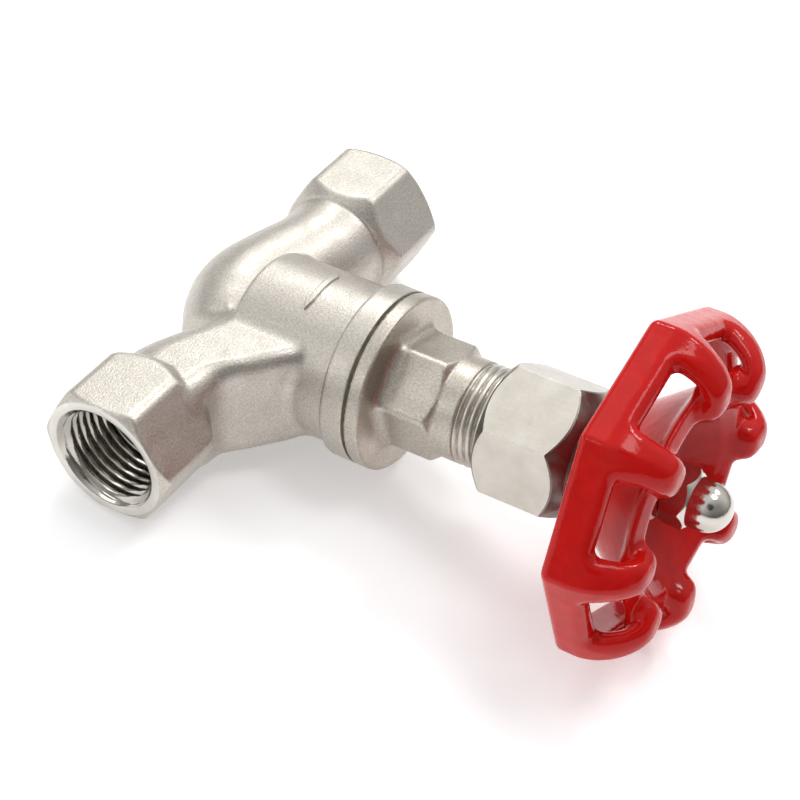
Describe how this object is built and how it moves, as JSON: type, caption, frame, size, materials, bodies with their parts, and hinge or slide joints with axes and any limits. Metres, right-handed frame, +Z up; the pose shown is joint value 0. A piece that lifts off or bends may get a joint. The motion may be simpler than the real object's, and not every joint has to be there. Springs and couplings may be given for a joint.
{
  "type": "threaded globe valve",
  "caption": "Threaded globe valve lying on its side: S-shaped cast body with hexagon ends, screwed bonnet, gland nut, rising stem with swivel disc, octagonal arched handwheel and domed cap nut.",
  "frame": {"origin": "centre of the bounding box's base, on the surface that the valve rests on", "axes": "+X along the flow axis, out of the inlet; the stem points to -Y and up by the angle at which the valve lies; +Z up"},
  "size_m": [0.092, 0.1164, 0.0661],
  "materials": {
    "body_casting": "satin",
    "bonnet_casting": "satin",
    "nut_steel": "satin",
    "stem_steel": "polished",
    "turned_steel": "satin",
    "washer_steel": "satin",
    "polished_nut": "polished",
    "wheel_coating": "gloss",
    "ptfe": "satin",
    "gasket": "matte"
  },
  "bodies": {
    "casing": {"valve_body": "body_casting", "bonnet_gasket": "gasket", "bonnet": "bonnet_casting", "packing_washer": "turned_steel", "packing_base": "ptfe", "packing_ring_low": "ptfe", "packing_ring_mid": "ptfe", "packing_ring_top": "ptfe", "packing_cap": "ptfe", "gland": "turned_steel", "gland_nut": "nut_steel"},
    "plug": {"disc": "turned_steel", "disc_retainer": "turned_steel", "disc_seat_ring": "ptfe", "disc_lock_washer": "turned_steel", "disc_lock_nut": "turned_steel"},
    "spindle": {"stem": "stem_steel", "handwheel": "wheel_coating", "hub_washer": "washer_steel", "hub_spring_washer": "washer_steel", "dome_nut": "polished_nut"}
  },
  "joints": [
    {"name": "plug_lift", "type": "slide", "parent": "casing", "child": "plug", "axis": [0, -0.9737, 0.2278], "range_m": [0, 0.006]},
    {"name": "wheel_turn", "type": "hinge", "parent": "plug", "child": "spindle", "pos_m": [0, -0.03846, 0.0326], "axis": [0, -0.9737, 0.2278], "range_deg": [0, 1080]}
  ],
  "couplings": [
    {"joint": "wheel_turn", "follows": "plug_lift", "rad_per_m": 3141.6}
  ]
}
